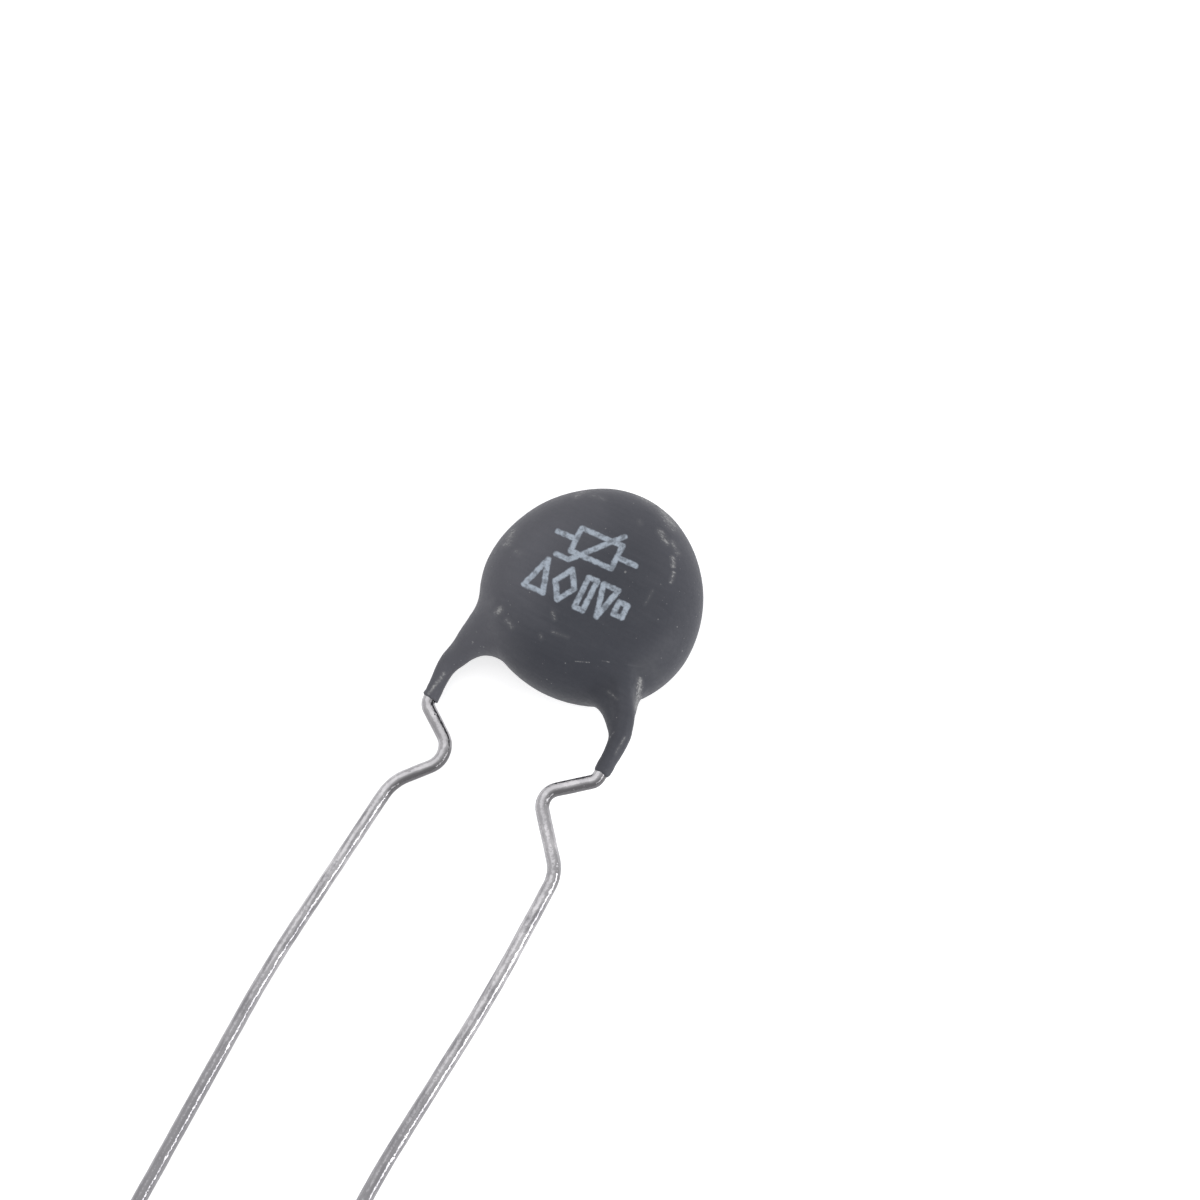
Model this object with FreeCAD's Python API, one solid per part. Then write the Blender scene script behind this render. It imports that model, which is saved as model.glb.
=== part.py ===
import FreeCAD, Part
import math
import os

# NTC thermistor: a disc of metal oxide ceramic between two silver electrodes,
# a tinned wire soldered to each, and a silicone dip coat over all of it.
# Millimetres. The part lies on its back: +Z is the normal of the marked face,
# the wires leave towards -Y, and the origin is under the disc's centre.

os.makedirs("parts", exist_ok=True)

# Ceramic disc and its electrodes
disc_diameter = 9.0
disc_thickness = 2.2
disc_edge_chamfer = 0.15
electrode_margin = 0.3
electrode_thickness = 0.05

# Wire and solder
wire_diameter = 0.6
wire_seat = 0.05
solder_length = 4.6
solder_taper = 1.4
solder_over_wire = 0.1

# Coat on the disc
coat_side_wall = 0.5
coat_over_wire = 0.4
coat_edge_cover = 0.12
coat_lobe = 0.75

# Coat on the wires, from its end up to the disc
leg_end_wall = 0.08
leg_wall = 0.2
leg_end_y = 7.2
leg_root_y = 2.2

# Web between each wire and the disc's rim
web_tail_y = 5.2
web_ball_radius = 1.35

# Route of the wires, as distances from the disc's centre
lead_pitch = 8.2
lead_length = 36.0
tip_past_middle = 0.3
tip_y = 1.8
shoulder_y = 5.0
shoulder_radius = 0.9
leg_bend_y = 7.5
leg_bend_radius = 0.5
bow_radius = 50.0
straight_radius = 30.0

# What differs between the front wire and the back wire. Both bow out below the kink: the
# shares say how far down from there to the end the bow stands and the straight part starts.
front_shoulder_out = 0.15
front_leg_out = 0.12
front_bend_in = 1.75
front_bend_y = 9.1
front_bend_radius = 0.75
front_kink_out = 0.47
front_kink_y = 11.64
front_kink_radius = 1.5
front_bow_out = 0.51
front_bow_share = 0.21
front_straight_share = 0.54
front_web_bulge = 0.15
front_web_turn = 48

back_shoulder_out = 0.5
back_leg_out = 0.25
back_bend_in = 2.0
back_bend_y = 9.0
back_bend_radius = 1.0
back_kink_out = -0.17
back_kink_y = 11.24
back_kink_radius = 2.0
back_bow_out = 0.36
back_bow_share = 0.37
back_straight_share = 0.88
back_web_bulge = 0.4
back_web_turn = 42

# Worked out from the sizes above
disc_radius = disc_diameter / 2
wire_radius = wire_diameter / 2
coat_radius = disc_radius + coat_side_wall
wire_level = disc_thickness / 2 + electrode_thickness + wire_seat + wire_radius
body_thickness = 2 * (wire_level + wire_radius + coat_over_wire)
middle_z = body_thickness / 2
disc_bottom_z = middle_z - disc_thickness / 2

UP = FreeCAD.Vector(0, 0, 1)


class Lead:
    """One wire: its side, its level and the corners of its route."""

    def __init__(self, side, shoulder_out, leg_out, bend_in, bend_y, bend_radius, kink_out, kink_y,
                 kink_radius, bow_out, bow_share, straight_share, web_bulge, web_turn):
        self.side = side
        self.z = middle_z + side * wire_level
        self.web_bulge = web_bulge
        self.web_turn = web_turn
        half_pitch = lead_pitch / 2
        self.tip = self.point(-tip_past_middle, tip_y)
        self.shoulder = self.point(half_pitch + shoulder_out, -shoulder_y)
        self.leg_bend = self.point(half_pitch + leg_out, -leg_bend_y)
        self.bend = self.point(half_pitch - bend_in, -bend_y)
        self.kink = self.point(half_pitch + kink_out, -kink_y)
        below_kink = lead_length - kink_y
        self.bow = self.point(half_pitch + bow_out, -kink_y - bow_share * below_kink)
        self.straight = self.point(half_pitch, -kink_y - straight_share * below_kink)
        self.end = self.point(half_pitch, -lead_length)
        self.corners = [self.shoulder, self.leg_bend, self.bend, self.kink, self.bow, self.straight]
        self.radii = [shoulder_radius, leg_bend_radius, bend_radius, kink_radius, bow_radius,
                      straight_radius]

    def point(self, x, y):
        return FreeCAD.Vector(self.side * x, y, self.z)

    def x_at(self, y):
        """The wire's distance from the middle line at a height y above its leg bend."""
        low, high = (self.leg_bend, self.shoulder) if y < -shoulder_y else (self.shoulder, self.tip)
        share = (y - low.y) / (high.y - low.y)
        return self.side * (low.x + share * (high.x - low.x))


def round_path(points, radii):
    """Straight runs between the points, joined by tangent arcs at the inner ones."""
    edges = []
    start = points[0]
    for before, corner, after, radius in zip(points, points[1:], points[2:], radii):
        back = (before - corner).normalize()
        ahead = (after - corner).normalize()
        half_angle = back.getAngle(ahead) / 2
        reach = radius / math.tan(half_angle)
        arc_start = corner + back * reach
        arc_end = corner + ahead * reach
        to_centre = (back + ahead).normalize()
        arc_middle = corner + to_centre * (radius / math.sin(half_angle) - radius)
        edges.append(Part.LineSegment(start, arc_start).toShape())
        edges.append(Part.Arc(arc_start, arc_middle, arc_end).toShape())
        start = arc_end
    edges.append(Part.LineSegment(start, points[-1]).toShape())
    return Part.Wire(edges)


def make_wire(lead):
    """A round wire swept along its route and cut off square."""
    path = round_path([lead.tip] + lead.corners + [lead.end], lead.radii)
    section = Part.Wire(Part.makeCircle(wire_radius, lead.tip, lead.shoulder - lead.tip))
    return path.makePipeShell([section], True, False)


def make_disc():
    disc = Part.makeCylinder(disc_radius, disc_thickness, FreeCAD.Vector(0, 0, disc_bottom_z), UP)
    rims = [edge for edge in disc.Edges if edge.Closed]
    return disc.makeChamfer(disc_edge_chamfer, rims)


def make_electrode(side):
    surface_z = middle_z + side * disc_thickness / 2
    base = FreeCAD.Vector(0, 0, surface_z)
    return Part.makeCylinder(disc_radius - electrode_margin, electrode_thickness, base, UP * side)


def make_solder(lead, wire):
    """Solder along the wire: half a round bar with tapered ends, on the electrode."""
    seat_z = middle_z + lead.side * (disc_thickness / 2 + electrode_thickness)
    height = wire_seat + wire_diameter + solder_over_wire
    along = (lead.shoulder - lead.tip).normalize()
    nearest = lead.tip - along * lead.tip.dot(along)
    middle = FreeCAD.Vector(nearest.x, nearest.y, seat_z)
    crest = UP * (lead.side * height)
    half, taper = solder_length / 2, solder_taper
    corners = [middle - along * half, middle - along * (half - taper) + crest,
               middle + along * (half - taper) + crest, middle + along * half]
    bar = Part.Face(Part.makePolygon(corners + corners[:1])).revolve(middle, along, 360)
    reach = solder_length
    keep = Part.makeBox(2 * reach, 2 * reach, height, middle - FreeCAD.Vector(reach, reach, 0))
    if lead.side < 0:
        keep = keep.mirror(middle, UP)
    return bar.common(keep).cut(wire)


def body_outline():
    """Three wide and three narrow tangent arcs: a circle pulled out a little towards
    the top and the two legs, with the same width all round."""
    narrow = coat_radius - coat_lobe * math.sqrt(3) / 2
    wide = 2 * coat_radius - narrow
    arcs = []
    for lobe in range(3):
        for radius, turn in ((narrow, 0), (wide, 180)):
            direction = math.radians(90 + 120 * lobe)
            centre = FreeCAD.Vector(math.cos(direction), math.sin(direction), 0) * coat_lobe
            middle = direction + math.radians(turn)
            angles = [middle - math.radians(30), middle, middle + math.radians(30)]
            ends = [centre + FreeCAD.Vector(math.cos(a), math.sin(a), 0) * radius for a in angles]
            arcs.append(Part.Arc(*ends).toShape())
    return Part.Wire(Part.__sortEdges__(arcs))


def make_body():
    """The coated disc: flat faces and a rim as round as the disc's edge allows."""
    side_wall = coat_side_wall - coat_edge_cover
    face_wall = middle_z - disc_thickness / 2 - coat_edge_cover
    rim_round = side_wall + face_wall + coat_edge_cover + math.sqrt(2 * side_wall * face_wall)
    rim_round = min(rim_round, middle_z - coat_edge_cover)
    slab = Part.Face(body_outline()).extrude(UP * body_thickness)
    flats = [face for face in slab.Faces if abs(face.normalAt(0, 0).z) > math.sqrt(0.5)]
    return slab.makeFillet(rim_round, [edge for face in flats for edge in face.Edges])


def make_web(lead):
    """What the coat leaves in the corner between a wire and the disc's rim: a funnel from
    the coat on the wire to a ball in the disc's coat."""
    tail = FreeCAD.Vector(lead.side * lead.x_at(-web_tail_y), -web_tail_y, lead.z)
    turn = math.radians(lead.web_turn)
    outward = FreeCAD.Vector(lead.side * math.cos(turn), -math.sin(turn), 0)
    ball_radius = min(web_ball_radius, middle_z - coat_edge_cover)
    ball = outward * (coat_radius + lead.web_bulge - ball_radius) + UP * middle_z
    axis = (ball - tail).normalize()
    across = axis.cross(UP).normalize()
    length = (ball - tail).Length
    tail_radius = wire_radius + leg_end_wall
    slope = math.asin(ball_radius / math.hypot(length, tail_radius)) - math.atan2(tail_radius, length)
    joint = ball + (across * math.cos(slope) - axis * math.sin(slope)) * ball_radius
    outline = [
        Part.LineSegment(tail, tail + across * tail_radius),
        Part.LineSegment(tail + across * tail_radius, joint),
        Part.Arc(joint, ball + across * ball_radius, ball + axis * ball_radius),
        Part.LineSegment(ball + axis * ball_radius, tail),
    ]
    return Part.Face(Part.Wire([edge.toShape() for edge in outline])).revolve(tail, axis, 360)


def make_leg(lead):
    """The coat on one wire: a tube that thins towards its end, with a ball at its bend."""
    end = FreeCAD.Vector(lead.side * lead.x_at(-leg_end_y), -leg_end_y, lead.z)
    root = FreeCAD.Vector(lead.side * lead.x_at(-leg_root_y), -leg_root_y, lead.z)
    down, inward = lead.shoulder - end, root - lead.shoulder
    outer = wire_radius + leg_wall
    thin = Part.makeCone(wire_radius + leg_end_wall, outer, down.Length, end, down)
    thick = Part.makeCylinder(outer, inward.Length, lead.shoulder, inward)
    return thin.fuse([thick, Part.makeSphere(outer, lead.shoulder)])


front = Lead(1, front_shoulder_out, front_leg_out, front_bend_in, front_bend_y, front_bend_radius,
             front_kink_out, front_kink_y, front_kink_radius, front_bow_out, front_bow_share,
             front_straight_share, front_web_bulge, front_web_turn)
back = Lead(-1, back_shoulder_out, back_leg_out, back_bend_in, back_bend_y, back_bend_radius,
            back_kink_out, back_kink_y, back_kink_radius, back_bow_out, back_bow_share,
            back_straight_share, back_web_bulge, back_web_turn)

nodes = {
    "ceramic_disc": make_disc(),
    "electrode_front": make_electrode(1),
    "electrode_back": make_electrode(-1),
    "lead_front": make_wire(front),
    "lead_back": make_wire(back),
}
nodes["solder_front"] = make_solder(front, nodes["lead_front"])
nodes["solder_back"] = make_solder(back, nodes["lead_back"])

coat = make_body().fuse([make_leg(front), make_web(front), make_leg(back), make_web(back)])
for held in nodes.values():
    coat = coat.cut(held)
nodes["coating"] = coat

for name, shape in nodes.items():
    shape.exportStep("parts/" + name + ".step")
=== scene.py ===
import math

import bmesh
import bpy
from bpy.props import FloatProperty, FloatVectorProperty, IntProperty, PointerProperty
from bpy.types import Operator, Panel, PropertyGroup
from mathutils import Matrix, Vector, noise
from mathutils.bvhtree import BVHTree


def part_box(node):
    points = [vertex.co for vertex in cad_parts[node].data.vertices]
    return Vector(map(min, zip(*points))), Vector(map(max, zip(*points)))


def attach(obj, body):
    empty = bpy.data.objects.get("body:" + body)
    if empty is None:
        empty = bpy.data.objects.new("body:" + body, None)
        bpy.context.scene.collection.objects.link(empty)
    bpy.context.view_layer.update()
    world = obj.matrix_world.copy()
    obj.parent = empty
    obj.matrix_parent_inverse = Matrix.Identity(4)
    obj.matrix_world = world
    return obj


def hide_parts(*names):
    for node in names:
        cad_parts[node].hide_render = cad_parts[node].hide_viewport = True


bl_info = {
    "name": "Dipped disc thermistor",
    "version": (1, 0, 0),
    "blender": (4, 5, 0),
    "location": "3D View > Sidebar > Thermistor",
    "description": "Gives a disc thermistor its dip coat, its tinned wires and its finishes",
    "category": "Object",
}

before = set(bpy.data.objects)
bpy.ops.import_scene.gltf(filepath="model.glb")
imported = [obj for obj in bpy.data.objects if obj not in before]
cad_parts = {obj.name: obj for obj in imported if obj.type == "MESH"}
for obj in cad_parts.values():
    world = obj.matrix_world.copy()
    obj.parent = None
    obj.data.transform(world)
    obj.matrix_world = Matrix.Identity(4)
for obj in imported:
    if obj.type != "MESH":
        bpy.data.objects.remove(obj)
BODY = "root"
MM = 0.001

# What the coat holds
HELD = ("ceramic_disc", "electrode_front", "electrode_back", "solder_front", "solder_back",
        "lead_front", "lead_back")

# The largest turn from one ring of a wire's mesh to the next, and the number that picks the
# wires' waves, so that they are the same on every run
STEP_TURN = math.radians(7)
WAVES = 1

# Corners of each wire's route as (distance from the middle line, distance below the disc's
# centre, bend radius), in millimetres. Its level, radius and end come from its CAD node.
WIRE_TIP = (-0.3, -1.8)
WIRE_ROUTES = {
    "lead_front": (1, ((4.25, 5.0, 0.9), (4.22, 7.5, 0.5), (2.35, 9.1, 0.75), (4.57, 11.64, 1.5),
                       (4.61, 16.756, 50.0), (4.1, 24.794, 30.0))),
    "lead_back": (-1, ((4.6, 5.0, 0.9), (4.35, 7.5, 0.5), (2.1, 9.0, 1.0), (3.93, 11.24, 2.0),
                       (4.46, 20.401, 50.0), (4.1, 33.029, 30.0))),
}

# The way that the wires' painted shade is turned at the kinks, how much of the painted shade is left
# below them, and the places along the part between which it changes, in millimetres
PAINTED_SHADE_WAY = Vector((0.7, -0.71, 0.0))
PAINTED_SHADE_BELOW = 0.15
KINKS_END = (-13.0, -11.0)

# Strokes of the printed marks on the face, in millimetres: above, the circuit symbol of a
# thermistor; below, a triangle, a diamond, a bar, a triangle on its point and a small square.
MARK_STROKES = (
    ((-1.45, 1.98), (0.5, 1.98), (0.5, 0.82), (-1.45, 0.82), (-1.45, 1.98)),
    ((-2.35, 1.4), (-1.45, 1.4)),
    ((0.5, 1.4), (1.4, 1.4)),
    ((-1.95, 0.42), (-1.35, 0.42), (0.4, 2.4)),
    ((-2.6, -1.42), (-2.15, 0.05), (-1.7, -1.42), (-2.6, -1.42)),
    ((-1.45, -0.68), (-1.0, 0.08), (-0.55, -0.68), (-1.0, -1.44), (-1.45, -0.68)),
    ((-0.2, 0.05), (0.2, 0.05), (0.2, -1.42), (-0.2, -1.42), (-0.2, 0.05)),
    ((0.5, 0.05), (1.2, 0.05), (0.85, -1.42), (0.5, 0.05)),
    ((1.45, -0.4), (1.85, -0.4), (1.85, -1.0), (1.45, -1.0), (1.45, -0.4)),
)

# The wires' shoulders, and the way that each one turns, seen from above
ELBOWS = (((4.25, -5.0, 0.0), (-0.958, -0.285, 0.0)), ((-4.6, -5.0, 0.0), (0.973, -0.23, 0.0)))

# The coat on the wires above its ends: between these places along the part, and at least
# this far out to the sides
LEGS_FROM, LEGS_TO, LEGS_OUT = -6.7 * MM, -3.4 * MM, 2.9 * MM

# Painted shade on the coat is darkest here, and painted sheen makes it paler away from here, sooner
# to the sides than along
PAINTED_SHADE_CENTRE = (0.9, -2.2, 0.0)
PAINTED_SHADE_SHAPE = (1.25, 0.6, 0.0)

# Scuffs and ink are on the marked side only. Each pair says where they start to show and
# where they show in full, in millimetres: by height on the body, and on the coat of the back
# wire, which lies lower, by the place along the part and by height.
FACE_SIDE = (2.0, 2.6)
BACK_LEG = (-4.8, -5.4)
BACK_LEG_SIDE = (0.7, 0.95)

# Where the lamps and the camera point
LAMPS_POINT_AT = Vector((0.0, -2.0, 2.0)) * MM
CAMERA_POINTS_AT = Vector((0.36, 0.0, 2.2)) * MM

# Scuffs as (points, radius, strength), in millimetres, seen from above the face
SCUFFS = (
    (((1.5, 3.4), (2.0, 3.1)), 0.3, 0.7),
    (((2.2, 3.3), (2.6, 2.95)), 0.26, 0.6),
    (((2.55, 2.6), (2.75, 2.25)), 0.2, 0.9),
    (((2.9, 2.0), (3.0, 1.55)), 0.17, 0.8),
    (((1.0, 4.65), (1.8, 4.15)), 0.6, 0.8),
    (((0.5, 3.4), (0.6, 3.3)), 0.2, 0.5),
    (((-2.6, 3.3), (-2.5, 3.7)), 0.34, 0.7),
    (((-2.0, 3.6), (-1.4, 3.65)), 0.25, 0.5),
    (((-0.3, 4.85), (0.45, 4.7)), 0.5, 0.7),
    (((-4.3, 0.5), (-4.2, -0.1)), 0.45, 0.7),
    (((-3.6, -0.4), (-3.4, -0.4)), 0.24, 0.5),
    (((-3.05, -3.05), (-2.95, -2.95)), 0.26, 1.0),
    (((-2.45, -3.25), (-2.1, -3.4)), 0.22, 0.6),
    (((-3.55, -2.8), (-3.5, -2.7)), 0.26, 0.4),
    (((-0.8, -3.2), (-0.7, -3.3)), 0.16, 0.5),
    (((-0.8, -2.1), (-0.6, -2.3)), 0.18, 0.6),
    (((-0.4, -2.85), (0.3, -2.75)), 0.14, 0.5),
    (((2.5, 0.1), (2.5, 0.8)), 0.13, 0.4),
    (((1.05, -3.5), (1.6, -3.26)), 0.05, 0.6),
    (((2.05, -2.95), (2.35, -2.85)), 0.05, 0.5),
    (((3.1, -2.55), (3.6, -2.33)), 0.07, 0.35),
    (((3.5, -2.3), (4.3, -2.1)), 0.45, 0.25),
    (((3.8, -2.8), (4.0, -3.3), (4.25, -3.9)), 0.24, 1.0),
    (((2.85, -3.9), (3.4, -4.1)), 0.12, 0.5),
    (((4.42, -5.4), (4.4, -6.2)), 0.12, 0.6),
    (((3.92, -5.4), (3.82, -5.9)), 0.08, 0.5),
    (((-4.3, -6.0), (-4.45, -7.1)), 0.15, 0.9),
)


# Sizes and colours that a user would change

class CoatSettings(PropertyGroup):
    """The dip coat: its mesh, its shape where it was left thick, and its finish."""

    voxel: FloatProperty(
        name="Mesh step", description="Edge length of the coat's mesh",
        default=0.065 * MM, min=0.03 * MM, max=0.3 * MM, subtype="DISTANCE", unit="LENGTH")
    web_round: FloatProperty(
        name="Web radius", description="How far the wet coat drew together in its corners",
        default=1.0 * MM, min=0.0, max=1.5 * MM, subtype="DISTANCE", unit="LENGTH")
    unevenness: FloatProperty(
        name="Unevenness", description="Depth of the shallow hollows in the coat",
        default=0.035 * MM, min=0.0, max=0.2 * MM, subtype="DISTANCE", unit="LENGTH")
    elbow: FloatProperty(
        name="Elbow", description="How far the coat on the wires cuts their shoulders",
        default=0.17 * MM, min=0.0, max=0.4 * MM, subtype="DISTANCE", unit="LENGTH")
    ragged: FloatProperty(
        name="Ragged ends", description="How far the coat's ends on the wires run in and out",
        default=0.09 * MM, min=0.0, max=0.3 * MM, subtype="DISTANCE", unit="LENGTH")
    back_end_slant: FloatProperty(
        name="Slant of the back end", description="Slope of the coat's end on the back wire",
        default=0.27, min=-1.0, max=1.0)
    colour: FloatVectorProperty(
        name="Coat", description="Colour of the coat",
        default=(0.035, 0.0375, 0.049), size=3, min=0.0, max=1.0, subtype="COLOR")
    # Painted sheen: the colour painted where painted light makes the coat paler, and where its own
    # tone is paler at random
    pale_and_sheen_colour: FloatVectorProperty(
        name="Pale coat", description="Colour of the coat where it is a little paler",
        default=(0.096, 0.097, 0.114), size=3, min=0.0, max=1.0, subtype="COLOR")
    dust_colour: FloatVectorProperty(
        name="Dust and scuffs", description="Colour of pale dust, specks and scuffs",
        default=(0.42, 0.42, 0.42), size=3, min=0.0, max=1.0, subtype="COLOR")


class MarkSettings(PropertyGroup):
    """The printed marks on the face."""

    stroke: FloatProperty(
        name="Stroke", description="Width of the printed strokes",
        default=0.25 * MM, min=0.05 * MM, max=1.0 * MM, subtype="DISTANCE", unit="LENGTH")
    tilt: FloatProperty(
        name="Tilt", description="Turn of the marks on the face",
        default=math.radians(3.0), subtype="ANGLE", unit="ROTATION")
    colour: FloatVectorProperty(
        name="Ink", description="Colour of the worn ink",
        default=(0.42, 0.48, 0.56), size=3, min=0.0, max=1.0, subtype="COLOR")


class WireSettings(PropertyGroup):
    """The tinned wires."""

    sides: IntProperty(name="Sides", description="Faces round the wire", default=32, min=8, max=96)
    step: FloatProperty(
        name="Step", description="Distance between the wire's rings",
        default=0.2 * MM, min=0.05 * MM, max=2 * MM, subtype="DISTANCE", unit="LENGTH")
    waviness: FloatProperty(
        name="Waviness", description="How far the wire strays from its line",
        default=0.03 * MM, min=0.0, max=0.2 * MM, subtype="DISTANCE", unit="LENGTH")
    lumps: FloatProperty(
        name="Lumps", description="Height of the lumps in the tin",
        default=0.009 * MM, min=0.0, max=0.1 * MM, subtype="DISTANCE", unit="LENGTH")
    colour: FloatVectorProperty(
        name="Tin", description="Colour of the tinned surface",
        default=(0.50, 0.49, 0.505), size=3, min=0.0, max=1.0, subtype="COLOR")
    # Dull tin, also used for the painted dark reflection towards the wires' far ends
    dull_and_shade_colour: FloatVectorProperty(
        name="Dull tin", description="Colour of the tin where it has dulled",
        default=(0.26, 0.255, 0.27), size=3, min=0.0, max=1.0, subtype="COLOR")
    # Painted shade: the colour painted on the tin's sides that face away from the light
    painted_shade_colour: FloatVectorProperty(
        name="Dark side", description="Colour of the tin on the sides turned away from the light",
        default=(0.125, 0.122, 0.128), size=3, min=0.0, max=1.0, subtype="COLOR")


class InsideSettings(PropertyGroup):
    """What the coat hides: the ceramic disc, its electrodes and the solder."""

    ceramic_colour: FloatVectorProperty(
        name="Ceramic", description="Colour of the sintered oxide",
        default=(0.055, 0.050, 0.046), size=3, min=0.0, max=1.0, subtype="COLOR")
    silver_colour: FloatVectorProperty(
        name="Fired silver", description="Colour of the electrodes",
        default=(0.78, 0.76, 0.71), size=3, min=0.0, max=1.0, subtype="COLOR")
    solder_colour: FloatVectorProperty(
        name="Solder", description="Colour of the solder",
        default=(0.60, 0.60, 0.61), size=3, min=0.0, max=1.0, subtype="COLOR")


class StageSettings(PropertyGroup):
    """The camera and what the part lies on."""

    lens: FloatProperty(
        name="Lens", description="Focal length of the camera", default=43.875, min=10.0, max=200.0)
    distance: FloatProperty(
        name="Distance", description="From the camera to the part",
        default=65 * MM, subtype="DISTANCE", unit="LENGTH")
    azimuth: FloatProperty(
        name="Azimuth", description="Turn of the camera about the part",
        default=math.radians(28.24), subtype="ANGLE", unit="ROTATION")
    elevation: FloatProperty(
        name="Elevation", description="Height of the camera above the floor, as an angle",
        default=math.radians(71.66), subtype="ANGLE", unit="ROTATION")
    daylight: FloatProperty(
        name="Daylight", description="Strength of the white surroundings on the part",
        default=0.62, min=0.0, max=2.0)
    floor_colour: FloatVectorProperty(
        name="Floor", description="Colour of the floor",
        default=(0.86, 0.86, 0.87), size=3, min=0.0, max=1.0, subtype="COLOR")


# Short helpers for the materials

def give(tree, socket, value):
    """Links a socket to another one, or sets its value."""
    if isinstance(value, bpy.types.NodeSocket):
        tree.links.new(value, socket)
    elif socket.type == "RGBA":
        socket.default_value = (*value[:3], 1.0)
    else:
        socket.default_value = value


def add(tree, kind, inputs=None, **properties):
    """A node with its properties set and its inputs linked or given values."""
    node = tree.nodes.new(kind)
    for name, value in properties.items():
        setattr(node, name, value)
    for name, value in (inputs or {}).items():
        give(tree, node.inputs[name], value)
    return node


def sums(tree, operation, *values, clamp=False):
    """A Math node's result."""
    node = add(tree, "ShaderNodeMath", dict(enumerate(values)), operation=operation, use_clamp=clamp)
    return node.outputs[0]


def times(tree, first, second):
    """The product of two values."""
    return sums(tree, "MULTIPLY", first, second)


def varied(tree, value, cloud, amount, clamp=False):
    """A value raised and lowered by smooth noise, by up to half of the amount."""
    return sums(tree, "MULTIPLY_ADD", sums(tree, "SUBTRACT", cloud, 0.5), amount, value, clamp=clamp)


def vectors(tree, operation, *values):
    """A Vector Math node."""
    return add(tree, "ShaderNodeVectorMath", dict(enumerate(values)), operation=operation)


def stretched(tree, vector, scale):
    """The coordinates times a scale for each axis."""
    return vectors(tree, "MULTIPLY", vector, scale).outputs[0]


def clouds(tree, vector, scale, detail=3.0, rough=0.5, warp=0.0):
    """Smooth noise from 0 to 1, with this many clouds to the millimetre."""
    inputs = {"Vector": vector, "Scale": scale, "Detail": detail, "Roughness": rough,
              "Distortion": warp}
    return add(tree, "ShaderNodeTexNoise", inputs).outputs["Fac"]


def ease(tree, value, start, end, low=0.0, high=1.0):
    """A smooth step from low to high while the value goes from start to end."""
    inputs = {"Value": value, "From Min": start, "From Max": end, "To Min": low, "To Max": high}
    return add(tree, "ShaderNodeMapRange", inputs, interpolation_type="SMOOTHSTEP").outputs["Result"]


def blend(tree, share, first, second):
    """A colour between two colours."""
    node = add(tree, "ShaderNodeMix", data_type="RGBA")
    for index, value in ((0, share), (6, first), (7, second)):
        give(tree, node.inputs[index], value)
    return node.outputs[2]


def bumped(tree, height, distance, strength):
    """A normal from a height, with a distance in metres."""
    inputs = {"Height": height, "Distance": distance, "Strength": strength}
    return add(tree, "ShaderNodeBump", inputs).outputs["Normal"]


def new_material(name):
    """A material, its tree, its shader and the piece's own coordinates in millimetres."""
    material = bpy.data.materials.new(name)
    material.use_nodes = True
    tree = material.node_tree
    place = add(tree, "ShaderNodeTexCoord")
    mm = stretched(tree, place.outputs["Object"], (1000.0, 1000.0, 1000.0))
    return material, tree, tree.nodes["Principled BSDF"], mm


def new_group(name, inputs, output):
    """A node group with its named inputs and its one output, a number."""
    group = bpy.data.node_groups.new(name, "ShaderNodeTree")
    for label, socket_type, value in inputs:
        socket = group.interface.new_socket(label, in_out="INPUT", socket_type=socket_type)
        socket.default_value = value
    group.interface.new_socket(output, in_out="OUTPUT", socket_type="NodeSocketFloat")
    entry, leave = group.nodes.new("NodeGroupInput"), group.nodes.new("NodeGroupOutput")
    return group, entry.outputs, leave.inputs[0]


def use(tree, group, inputs):
    """A node group's result in a material."""
    node = add(tree, "ShaderNodeGroup", node_tree=group)
    for name, value in inputs.items():
        give(tree, node.inputs[name], value)
    return node.outputs[0]


def group_of(name, build):
    """The node group of that name, built on its first use."""
    return bpy.data.node_groups.get(name) or build(name)


def build_stroke(name):
    """How far a place is from the line between two points, in millimetres."""
    inputs = [(label, "NodeSocketVector", (0.0, 0.0, 0.0)) for label in ("Place", "From", "To")]
    group, entry, leave = new_group(name, inputs, "Distance")
    reach = vectors(group, "SUBTRACT", entry["Place"], entry["From"]).outputs[0]
    run = vectors(group, "SUBTRACT", entry["To"], entry["From"]).outputs[0]
    along = sums(group, "DIVIDE", vectors(group, "DOT_PRODUCT", reach, run).outputs["Value"],
                 vectors(group, "DOT_PRODUCT", run, run).outputs["Value"], clamp=True)
    nearest = add(group, "ShaderNodeVectorMath", {0: run, "Scale": along}, operation="SCALE")
    give(group, leave, vectors(group, "DISTANCE", reach, nearest.outputs[0]).outputs["Value"])
    return group


def build_specks(name):
    """Scattered specks of uneven size: 1 on a speck, 0 between."""
    inputs = [("Place", "NodeSocketVector", (0.0, 0.0, 0.0)),
              ("Per millimetre", "NodeSocketFloat", 2.0),
              ("Size", "NodeSocketFloat", 0.1),
              ("Share", "NodeSocketFloat", 0.3)]
    group, entry, leave = new_group(name, inputs, "Mask")
    cells = add(group, "ShaderNodeTexVoronoi",
                {"Vector": entry["Place"], "Scale": entry["Per millimetre"], "Randomness": 1.0})
    tint = add(group, "ShaderNodeSeparateColor", {0: cells.outputs["Color"]})
    ragged = clouds(group, entry["Place"], 14.0, detail=2.0)
    size = times(group, entry["Size"], sums(group, "ADD", ragged, tint.outputs[1]))
    dot = ease(group, sums(group, "DIVIDE", cells.outputs["Distance"], size), 1.0, 0.45)
    chosen = sums(group, "LESS_THAN", tint.outputs[0], entry["Share"])
    give(group, leave, times(group, dot, chosen))
    return group


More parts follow.
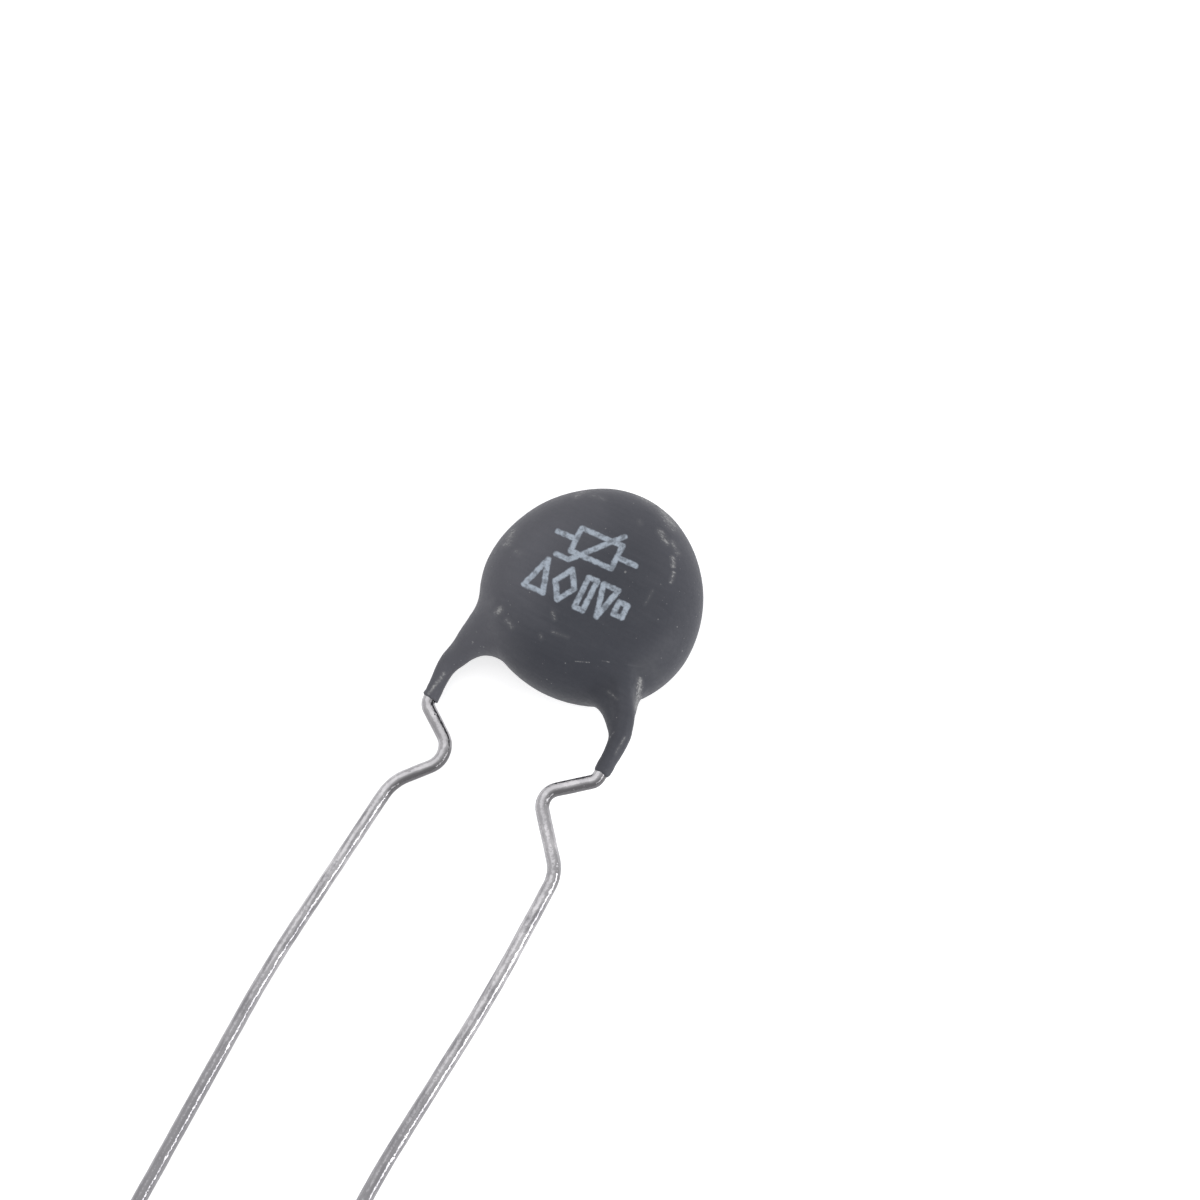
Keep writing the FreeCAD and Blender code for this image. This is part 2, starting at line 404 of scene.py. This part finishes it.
def build_grain(name):
    """Fine grain with pores, as a height from 0 to 1."""
    inputs = [("Place", "NodeSocketVector", (0.0, 0.0, 0.0)),
              ("Per millimetre", "NodeSocketFloat", 6.0)]
    group, entry, leave = new_group(name, inputs, "Height")
    fine = clouds(group, entry["Place"], entry["Per millimetre"], detail=5.0, rough=0.62)
    pores = add(group, "ShaderNodeTexVoronoi",
                {"Vector": entry["Place"], "Scale": entry["Per millimetre"]})
    pore_depth = 0.25
    pit = ease(group, pores.outputs["Distance"], 0.0, 0.22)
    pit = sums(group, "MULTIPLY_ADD", pit, pore_depth, 1.0 - pore_depth)
    give(group, leave, times(group, fine, pit))
    return group


def nearest_stroke(tree, place, strokes):
    """The distance to the nearest of some strokes, each a row of points, seen from above."""
    group = group_of("stroke_distance", build_stroke)
    flat = stretched(tree, place, (1.0, 1.0, 0.0))
    found = None
    for points in strokes:
        for start, end in zip(points, points[1:]):
            reach = use(tree, group, {"Place": flat, "From": (*start, 0.0), "To": (*end, 0.0)})
            found = reach if found is None else sums(tree, "MINIMUM", found, reach)
    return found


def dress(piece, material):
    """Gives a piece its one material."""
    piece.data.materials.clear()
    piece.data.materials.append(material)


# The coat

def scuff_mask(tree, place):
    """Where the coat is scuffed, from 0 to 1: full in the middle of a scuff, none at its edge."""
    found = None
    for points, radius, strength in SCUFFS:
        reach = nearest_stroke(tree, place, (points,))
        nearness = sums(tree, "SUBTRACT", 1.0, sums(tree, "DIVIDE", reach, radius), clamp=True)
        share = times(tree, nearness, strength)
        found = share if found is None else sums(tree, "MAXIMUM", found, share)
    return found


def marked_side(tree, mm):
    """1 on the side that the marks are on, 0 below it."""
    place = add(tree, "ShaderNodeSeparateXYZ", {0: mm}).outputs
    back_leg = times(tree, ease(tree, place["Y"], *BACK_LEG), ease(tree, place["Z"], *BACK_LEG_SIDE))
    return sums(tree, "MAXIMUM", ease(tree, place["Z"], *FACE_SIDE), back_leg)


def painted_light_and_mottle(tree, mm, brushed):
    """How pale the coat is: clouded at random, with painted shade round one place and towards the
    front wire's side, and painted sheen away from them.
    """
    reach = vectors(tree, "SUBTRACT", mm, PAINTED_SHADE_CENTRE).outputs[0]
    away = vectors(tree, "LENGTH", stretched(tree, reach, PAINTED_SHADE_SHAPE)).outputs["Value"]
    across = add(tree, "ShaderNodeSeparateXYZ", {0: mm}).outputs["X"]
    # Painted light: painted shade round the darkest place and painted sheen away from it, and painted
    # shade towards the front wire's side, where the lamp on the right lights the rim
    pale = sums(tree, "SUBTRACT", ease(tree, away, 1.2, 6.2), ease(tree, across, 2.4, 4.6, high=0.55))
    mottle = clouds(tree, mm, 0.45, detail=4.0, rough=0.6)
    return varied(tree, varied(tree, pale, mottle, 0.4), brushed, 0.3, clamp=True)


def dust_mask(tree, mm, upper):
    """Where the coat is pale with scuffs and specks, from 0 to 1."""
    ragged = clouds(tree, mm, 6.5, detail=4.0, rough=0.7, warp=0.6)
    scratchy = clouds(tree, stretched(tree, mm, (4.0, 12.0, 8.0)), 1.0, detail=5.0, rough=0.7)
    worn = times(tree, sums(tree, "ADD", ragged, scratchy), 0.5)
    scuffed = times(tree, scuff_mask(tree, mm), upper)
    marred = ease(tree, times(tree, worn, sums(tree, "POWER", scuffed, 0.3)), 0.37, 0.61)
    haze = times(tree, scuffed, 0.12)
    scuffs = sums(tree, "MULTIPLY_ADD", marred, 0.85, haze)

    specks_group = group_of("specks", build_specks)
    small = {"Place": mm, "Per millimetre": 1.9, "Size": 0.1, "Share": 0.34}
    tiny = {"Place": mm, "Per millimetre": 4.6, "Size": 0.13, "Share": 0.25}
    specks = sums(tree, "MAXIMUM", use(tree, specks_group, small), use(tree, specks_group, tiny))
    gathered = ease(tree, clouds(tree, mm, 0.7, detail=2.0), 0.38, 0.62, low=0.15)
    return sums(tree, "MAXIMUM", scuffs, times(tree, times(tree, specks, 0.4), gathered))


def ink_mask(tree, mm, marks):
    """Where the worn ink of the printed marks is, from 0 to 1."""
    wobble = add(tree, "ShaderNodeTexNoise", {"Vector": mm, "Scale": 5.0, "Detail": 2.0})
    wobble = vectors(tree, "SUBTRACT", wobble.outputs["Color"], (0.5, 0.5, 0.5)).outputs[0]
    shaken = vectors(tree, "ADD", mm, stretched(tree, wobble, (0.09, 0.09, 0.0))).outputs[0]
    turned = add(tree, "ShaderNodeMapping", {"Vector": shaken, "Rotation": (0.0, 0.0, -marks.tilt)})
    reach = nearest_stroke(tree, turned.outputs[0], MARK_STROKES)
    half = marks.stroke / 2 / MM
    ink = ease(tree, reach, half * 1.3, half * 0.6)
    thin = ease(tree, clouds(tree, mm, 3.2, detail=5.0, rough=0.65), 0.34, 0.58, low=0.35)
    flecked = ease(tree, clouds(tree, mm, 16.0, detail=2.0), 0.2, 0.5, low=0.7)
    return times(tree, ink, times(tree, thin, flecked))


def coat_material(coat, marks):
    """Satin silicone: fine grain, paler clouds that are partly painted sheen and painted shade, pale
    scuffs and specks, and worn printed marks.
    """
    material, tree, shader, mm = new_material("dip_coat")
    upper = marked_side(tree, mm)
    brushed = clouds(tree, stretched(tree, mm, (0.6, 5.0, 5.0)), 1.0, rough=0.55)
    dusty = dust_mask(tree, mm, upper)
    ink = times(tree, times(tree, ink_mask(tree, mm, marks), upper), 0.92)
    # The coat's colour between its dark and pale tones: painted shade and painted sheen, with its own
    # uneven tone
    colour = blend(tree, painted_light_and_mottle(tree, mm, brushed), coat.colour, coat.pale_and_sheen_colour)
    colour = blend(tree, dusty, colour, coat.dust_colour)
    give(tree, shader.inputs["Base Color"], blend(tree, ink, colour, marks.colour))

    grain = use(tree, group_of("grain", build_grain), {"Place": mm, "Per millimetre": 7.0})
    rough = ease(tree, grain, 0.25, 0.75, low=0.5, high=0.62)
    give(tree, shader.inputs["Roughness"], sums(tree, "MULTIPLY_ADD", dusty, 0.25, rough, clamp=True))
    shader.inputs["Specular IOR Level"].default_value = 0.35
    relief = sums(tree, "MULTIPLY_ADD", brushed, 0.3, grain)
    give(tree, shader.inputs["Normal"], bumped(tree, relief, 0.012 * MM, 0.8))
    return material


def without_cavity(bm):
    """Takes the walls of the space for the disc, wires and solder out of the coat's mesh."""
    walls_of = []
    for name in HELD:
        held = bmesh.new()
        held.from_mesh(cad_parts[name].data)
        walls_of.append(BVHTree.FromBMesh(held))
        held.free()

    def on_held(spot):
        return any(wall.find_nearest(spot, 0.012 * MM)[0] for wall in walls_of)

    walls = [face for face in bm.faces
             if on_held(face.calc_center_median()) and all(on_held(vert.co) for vert in face.verts)]
    bmesh.ops.delete(bm, geom=walls, context="FACES")
    bmesh.ops.holes_fill(bm, edges=[edge for edge in bm.edges if edge.is_boundary], sides=0)
    bmesh.ops.triangulate(bm, faces=bm.faces[:])
    bmesh.ops.recalc_face_normals(bm, faces=bm.faces[:])


def remesh(piece, voxel):
    """Gives a closed piece an even mesh, in its own data."""
    step = piece.modifiers.new("even mesh", "REMESH")
    step.mode = "VOXEL"
    step.voxel_size = voxel
    step.use_smooth_shade = True
    made = bpy.data.meshes.new_from_object(piece.evaluated_get(bpy.context.evaluated_depsgraph_get()))
    piece.modifiers.clear()
    old, piece.data = piece.data, made
    bpy.data.meshes.remove(old)


def reshape(piece, move, smooth=0, smooth_legs=0):
    """Moves every point of a piece to move(point, normal), then evens the mesh out, and the
    coat on the wires above its ends more than the rest."""
    bm = bmesh.new()
    bm.from_mesh(piece.data)
    bm.normal_update()
    places = [move(vert.co, vert.normal) for vert in bm.verts]
    for vert, place in zip(bm.verts, places):
        vert.co = place
    legs = [vert for vert in bm.verts
            if LEGS_FROM < vert.co.y < LEGS_TO and abs(vert.co.x) > LEGS_OUT]
    for verts, rounds in ((legs, smooth_legs), (bm.verts[:], smooth)):
        for _ in range(rounds):
            bmesh.ops.smooth_vert(bm, verts=verts, factor=0.5, use_axis_x=True, use_axis_y=True,
                                  use_axis_z=True)
    for face in bm.faces:
        face.smooth = True
    bm.to_mesh(piece.data)
    bm.free()


def fade(value, start, end):
    """A smooth step from 0 at start to 1 at end."""
    share = min(max((value - start) / (end - start), 0.0), 1.0)
    return share * share * (3 - 2 * share)


class THERMISTOR_OT_coat(Operator):
    """Makes the dip coat: the coated disc drawn smoothly into the two coated wires"""

    bl_idname = "thermistor.coat"
    bl_label = "Dip coat"

    def execute(self, context):
        settings = context.scene.thermistor_coat
        bm = bmesh.new()
        bm.from_mesh(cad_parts["coating"].data)
        bmesh.ops.remove_doubles(bm, verts=bm.verts[:], dist=0.0005 * MM)
        without_cavity(bm)
        mesh = bpy.data.meshes.new("dip_coat")
        bm.to_mesh(mesh)
        bm.free()
        coat = bpy.data.objects.new("dip_coat", mesh)
        context.scene.collection.objects.link(coat)
        low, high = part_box("coating")

        def web(spot, out):
            """The web is rounder on the back wire's side, at the left."""
            return out * settings.web_round * (0.75 - 0.25 * spot.x / high.x)

        remesh(coat, settings.voxel)
        reshape(coat, lambda spot, out: spot + web(spot, out))
        remesh(coat, settings.voxel * 1.5)
        reshape(coat, lambda spot, out: spot - web(spot, out), smooth=2)
        remesh(coat, settings.voxel)

        def finish(spot, out):
            """Shallow hollows, cut shoulders and ragged ends, kept inside the CAD node's box."""
            hollow = 0.5 + 0.5 * noise.noise(spot * (0.5 / MM))
            place = spot - out * settings.unevenness * hollow
            for elbow, inwards in ELBOWS:
                reach = Vector((spot.x, spot.y, 0.0)) - Vector(elbow) * MM
                along = abs(reach.x * inwards[1] - reach.y * inwards[0])
                cut = max(1 - along / MM, 0.0) ** 2 * fade(reach.length, 1.7 * MM, 0.9 * MM)
                place += Vector(inwards) * settings.elbow * cut
            near_end = fade(spot.y, low.y + 0.45 * MM, low.y + 0.1 * MM)
            run_out = noise.noise(Vector((spot.x, 0.0, spot.z)) * (3.5 / MM)) * settings.ragged
            if spot.x < 0:
                run_out += (spot.x - low.x - 0.5 * MM) * -settings.back_end_slant
            place.y += run_out * near_end
            for axis in range(3):
                place[axis] = min(max(place[axis], low[axis]), high[axis])
            return place

        reshape(coat, finish, smooth=3, smooth_legs=30)
        dress(coat, coat_material(settings, context.scene.thermistor_marks))
        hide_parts("coating")
        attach(coat, BODY)
        return {"FINISHED"}


# The wires

def wire_material(settings):
    """Bright tin with dull streaks along the wire, painted shade on its sides at the kinks, painted
    darker ends, lumps and pits.
    """
    material, tree, shader, mm = new_material("tinned_wire")
    down = add(tree, "ShaderNodeSeparateXYZ", {0: mm}).outputs["Y"]
    drawn = clouds(tree, stretched(tree, mm, (4.0, 0.7, 4.0)), 1.0)
    streaks = varied(tree, 0.5, drawn, ease(tree, down, -11.0, -14.0))
    blotches = clouds(tree, mm, 1.3, detail=4.0, rough=0.6, warp=0.4)
    lumps = clouds(tree, mm, 4.5, detail=2.0)
    pits = use(tree, group_of("specks", build_specks),
               {"Place": mm, "Per millimetre": 2.6, "Size": 0.14, "Share": 0.35})

    dull = times(tree, ease(tree, streaks, 0.38, 0.62), ease(tree, blotches, 0.25, 0.55))
    dull = sums(tree, "MAXIMUM", dull, times(tree, pits, 0.8))
    colour = blend(tree, dull, settings.colour, settings.dull_and_shade_colour)
    # Painted dark reflection: the tin is painted darker towards the wires' far ends
    painted_dark_ends = ease(tree, down, -14.0, -28.0, high=0.85)
    colour = blend(tree, painted_dark_ends, colour, settings.dull_and_shade_colour)
    # Painted shade: the sides that the attribute marks are painted dark
    side = add(tree, "ShaderNodeAttribute", attribute_name="painted_shade").outputs["Fac"]
    side = ease(tree, varied(tree, side, blotches, 0.25), -0.1, 0.5)
    give(tree, shader.inputs["Base Color"], blend(tree, side, colour, settings.painted_shade_colour))

    shader.inputs["Metallic"].default_value = 1.0
    rough = ease(tree, blotches, 0.25, 0.75, low=0.13, high=0.25)
    give(tree, shader.inputs["Roughness"], rough)
    relief = sums(tree, "SUBTRACT", sums(tree, "MULTIPLY_ADD", streaks, 0.25, blotches), pits)
    relief = sums(tree, "MULTIPLY_ADD", lumps, 2.4, relief)
    give(tree, shader.inputs["Normal"], bumped(tree, relief, 0.014 * MM, 0.9))
    return material


def drawn_on(bm, edges, **turn):
    """Draws a ring of edges on along a line or an arc, and returns the last ring."""
    corners = list(dict.fromkeys(vert for edge in edges for vert in edge.verts))
    made = bmesh.ops.spin(bm, geom=corners + edges, use_merge=False, use_duplicate=False, **turn)
    return [item for item in made["geom_last"] if isinstance(item, bmesh.types.BMEdge)]


def draw_wire(bm, points, bends, radius, settings):
    """Draws a round wire along straight runs between the points, with an arc at each bend."""
    heading = (points[1] - points[0]).normalized()
    place = Matrix.Translation(points[0]) @ heading.to_track_quat("Z", "Y").to_matrix().to_4x4()
    bmesh.ops.create_circle(bm, segments=settings.sides, radius=radius, matrix=place)
    ring, here = bm.edges[:], points[0]
    for corner, after, bend in zip(points[1:], points[2:], bends):
        ahead = (after - corner).normalized()
        turn = heading.angle(ahead)
        reach = bend * math.tan(turn / 2)
        run = corner - heading * reach - here
        steps = math.ceil(run.length / settings.step)
        ring = drawn_on(bm, ring, cent=here, axis=heading, dvec=run / steps, angle=0.0, steps=steps)
        axis = heading.cross(ahead).normalized()
        centre = here + run + axis.cross(heading) * bend
        steps = math.ceil(max(turn / STEP_TURN, turn * bend / settings.step))
        ring = drawn_on(bm, ring, cent=centre, axis=axis, dvec=(0, 0, 0), angle=turn, steps=steps)
        here, heading = corner + ahead * reach, ahead
    run = points[-1] - here
    steps = math.ceil(run.length / settings.step)
    drawn_on(bm, ring, cent=here, axis=heading, dvec=run / steps, angle=0.0, steps=steps)


def cut_ends(bm, blunting):
    """Closes a wire's two ends with flat faces, and blunts their rims."""
    bmesh.ops.remove_doubles(bm, verts=bm.verts[:], dist=0.001 * MM)
    open_edges = [edge for edge in bm.edges if edge.is_boundary]
    caps = bmesh.ops.holes_fill(bm, edges=open_edges, sides=0)["faces"]
    bmesh.ops.recalc_face_normals(bm, faces=bm.faces[:])
    rims = list(dict.fromkeys(edge for cap in caps for edge in cap.edges))
    for face in bm.faces:
        face.smooth = face not in caps
    bmesh.ops.bevel(bm, geom=rims, offset=blunting, offset_type="OFFSET", segments=2, profile=0.5,
                    affect="EDGES", clamp_overlap=True, material=-1)
    bm.normal_update()


def make_wire(name, settings):
    """A round wire along its route, slightly wavy, with lumps in its tin and a cut end."""
    low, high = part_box(name)
    radius, level = (high.z - low.z) / 2, (high.z + low.z) / 2
    side, corners = WIRE_ROUTES[name]
    points = [Vector((side * x * MM, -y * MM, level)) for x, y, *_ in (WIRE_TIP, *corners)]
    short_of_end = 0.002 * MM
    points.append(Vector((points[-1].x, low.y + short_of_end, level)))

    bm = bmesh.new()
    draw_wire(bm, points, [bend * MM for _, _, bend in corners], radius, settings)
    cut_ends(bm, blunting=radius * 0.12)
    noise.seed_set(WAVES)
    # Painted shade: how dark each point is painted, by the way its side faces
    painted_shade = bm.verts.layers.float.new("painted_shade")
    kinks_end, kinks_full = KINKS_END[0] * MM, KINKS_END[1] * MM
    for vert in bm.verts:
        out = vert.normal
        share = PAINTED_SHADE_BELOW + (1 - PAINTED_SHADE_BELOW) * fade(vert.co.y, kinks_end, kinks_full)
        vert[painted_shade] = out.dot(PAINTED_SHADE_WAY) * share * fade(vert.co.y, low.y, low.y + 0.1 * MM)
        stray = noise.noise_vector(vert.co * (0.22 / MM)) * settings.waviness
        lump = out * noise.noise(vert.co * (1.6 / MM)) * settings.lumps
        loose = fade(vert.co.y, -7.0 * MM, -8.5 * MM) * fade(vert.co.y, low.y, low.y + 1.0 * MM)
        vert.co += (stray + lump) * loose
    mesh = bpy.data.meshes.new("tinned_" + name)
    bm.to_mesh(mesh)
    bm.free()
    wire = bpy.data.objects.new(mesh.name, mesh)
    bpy.context.scene.collection.objects.link(wire)
    return wire


class THERMISTOR_OT_wires(Operator):
    """Makes the two tinned wires, each in place of its CAD node"""

    bl_idname = "thermistor.wires"
    bl_label = "Tinned wires"

    def execute(self, context):
        settings = context.scene.thermistor_wires
        material = wire_material(settings)
        for name in WIRE_ROUTES:
            wire = make_wire(name, settings)
            dress(wire, material)
            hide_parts(name)
            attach(wire, BODY)
        return {"FINISHED"}


# What the coat hides

def inside_material(name, colour, metallic, rough, speckle):
    """A dull or metallic finish with grain and speckle."""
    material, tree, shader, mm = new_material(name)
    grain = use(tree, group_of("grain", build_grain), {"Place": mm, "Per millimetre": 8.0})
    shade = [part * speckle for part in colour]
    give(tree, shader.inputs["Base Color"], blend(tree, ease(tree, grain, 0.3, 0.6), shade, colour))
    shader.inputs["Metallic"].default_value = metallic
    give(tree, shader.inputs["Roughness"], ease(tree, grain, 0.2, 0.7, low=rough, high=rough + 0.15))
    give(tree, shader.inputs["Normal"], bumped(tree, grain, 0.02 * MM, 0.7))
    return material


class THERMISTOR_OT_inside(Operator):
    """Finishes what the coat hides: the ceramic disc, its electrodes and the solder"""

    bl_idname = "thermistor.inside"
    bl_label = "Disc, electrodes and solder"

    def execute(self, context):
        settings = context.scene.thermistor_inside
        ceramic = inside_material("oxide_ceramic", settings.ceramic_colour, 0.0, 0.6, 0.6)
        silver = inside_material("silver_electrode", settings.silver_colour, 1.0, 0.42, 0.85)
        solder = inside_material("solder", settings.solder_colour, 1.0, 0.25, 0.8)
        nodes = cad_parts
        dress(nodes["ceramic_disc"], ceramic)
        for side in ("front", "back"):
            dress(nodes["electrode_" + side], silver)
            dress(nodes["solder_" + side], solder)
        return {"FINISHED"}


# The stage

def white_to_the_camera(tree):
    """1 for what the camera, a mirror or clear glass sees, 0 for what only lights."""
    path = add(tree, "ShaderNodeLightPath")
    seen = sums(tree, "MAXIMUM", path.outputs["Is Camera Ray"], path.outputs["Is Glossy Ray"])
    return sums(tree, "MAXIMUM", seen, path.outputs["Is Transmission Ray"])


def add_lamp(name, place, width, height, power):
    """A soft lamp that points at the part, its place and size in millimetres."""
    lamp = bpy.data.objects.new(name, bpy.data.lights.new(name, "AREA"))
    lamp.data.energy = power
    lamp.data.shape = "RECTANGLE"
    lamp.data.size = width * MM
    lamp.data.size_y = height * MM
    lamp.location = Vector(place) * MM
    lamp.rotation_euler = (LAMPS_POINT_AT - lamp.location).to_track_quat("-Z", "Y").to_euler()
    bpy.context.scene.collection.objects.link(lamp)


class THERMISTOR_OT_stage(Operator):
    """Sets up the pale floor, the soft lamps, the white background and the camera"""

    bl_idname = "thermistor.stage"
    bl_label = "Floor, lamps and camera"

    def execute(self, context):
        scene = context.scene
        settings = scene.thermistor_stage
        bm = bmesh.new()
        bmesh.ops.create_grid(bm, x_segments=1, y_segments=1, size=900 * MM)
        mesh = bpy.data.meshes.new("floor")
        bm.to_mesh(mesh)
        bm.free()
        floor = bpy.data.objects.new("floor", mesh)
        scene.collection.objects.link(floor)
        material, tree, shader, _ = new_material("floor")
        give(tree, shader.inputs["Base Color"], settings.floor_colour)
        shader.inputs["Roughness"].default_value = 0.9
        shader.inputs["Specular IOR Level"].default_value = 0.1
        shader.inputs["Emission Color"].default_value = (1.0, 1.0, 1.0, 1.0)
        glow = times(tree, white_to_the_camera(tree), 0.6)
        give(tree, shader.inputs["Emission Strength"], glow)
        dress(floor, material)

        world = bpy.data.worlds.new("white surroundings")
        world.use_nodes = True
        tree = world.node_tree
        strength = add(tree, "ShaderNodeMix",
                       {0: white_to_the_camera(tree), 2: settings.daylight, 3: 1.0})
        background = tree.nodes["Background"]
        background.inputs["Color"].default_value = (1.0, 1.0, 1.0, 1.0)
        give(tree, background.inputs["Strength"], strength.outputs[0])
        scene.world = world

        add_lamp("lamp_above", (-70.0, 60.0, 150.0), 200.0, 200.0, 0.075)
        add_lamp("lamp_right", (140.0, -2.0, 72.0), 130.0, 50.0, 0.10)

        camera = bpy.data.objects.new("camera", bpy.data.cameras.new("camera"))
        scene.collection.objects.link(camera)
        turn, rise = settings.azimuth, settings.elevation
        flat = math.cos(rise)
        back = Vector((math.sin(turn) * flat, -math.cos(turn) * flat, math.sin(rise)))
        camera.location = CAMERA_POINTS_AT + back * settings.distance
        camera.rotation_euler = (-back).to_track_quat("-Z", "Y").to_euler()
        camera.data.lens = settings.lens
        camera.data.sensor_width = 36.0
        camera.data.clip_start = 1.0 * MM
        camera.data.clip_end = 3.0
        scene.camera = camera
        scene.view_settings.view_transform = "Standard"
        return {"FINISHED"}


class THERMISTOR_PT_parts(Panel):
    """Shows a button for each step that makes the thermistor"""

    bl_idname = "THERMISTOR_PT_parts"
    bl_label = "Thermistor"
    bl_space_type = "VIEW_3D"
    bl_region_type = "UI"
    bl_category = "Thermistor"

    def draw(self, context):
        for operator in OPERATORS:
            self.layout.operator(operator.bl_idname)


SETTINGS = {"thermistor_coat": CoatSettings, "thermistor_marks": MarkSettings,
            "thermistor_wires": WireSettings, "thermistor_inside": InsideSettings,
            "thermistor_stage": StageSettings}
OPERATORS = (THERMISTOR_OT_coat, THERMISTOR_OT_wires, THERMISTOR_OT_inside, THERMISTOR_OT_stage)
CLASSES = (*SETTINGS.values(), *OPERATORS, THERMISTOR_PT_parts)


def register():
    for item in CLASSES:
        bpy.utils.register_class(item)
    for name, group in SETTINGS.items():
        setattr(bpy.types.Scene, name, PointerProperty(type=group))


def unregister():
    for name in SETTINGS:
        delattr(bpy.types.Scene, name)
    for item in reversed(CLASSES):
        bpy.utils.unregister_class(item)


def main():
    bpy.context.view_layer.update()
    register()
    bpy.ops.thermistor.coat()
    bpy.ops.thermistor.wires()
    bpy.ops.thermistor.inside()
    bpy.ops.thermistor.stage()


if __name__ == "__main__":
    main()
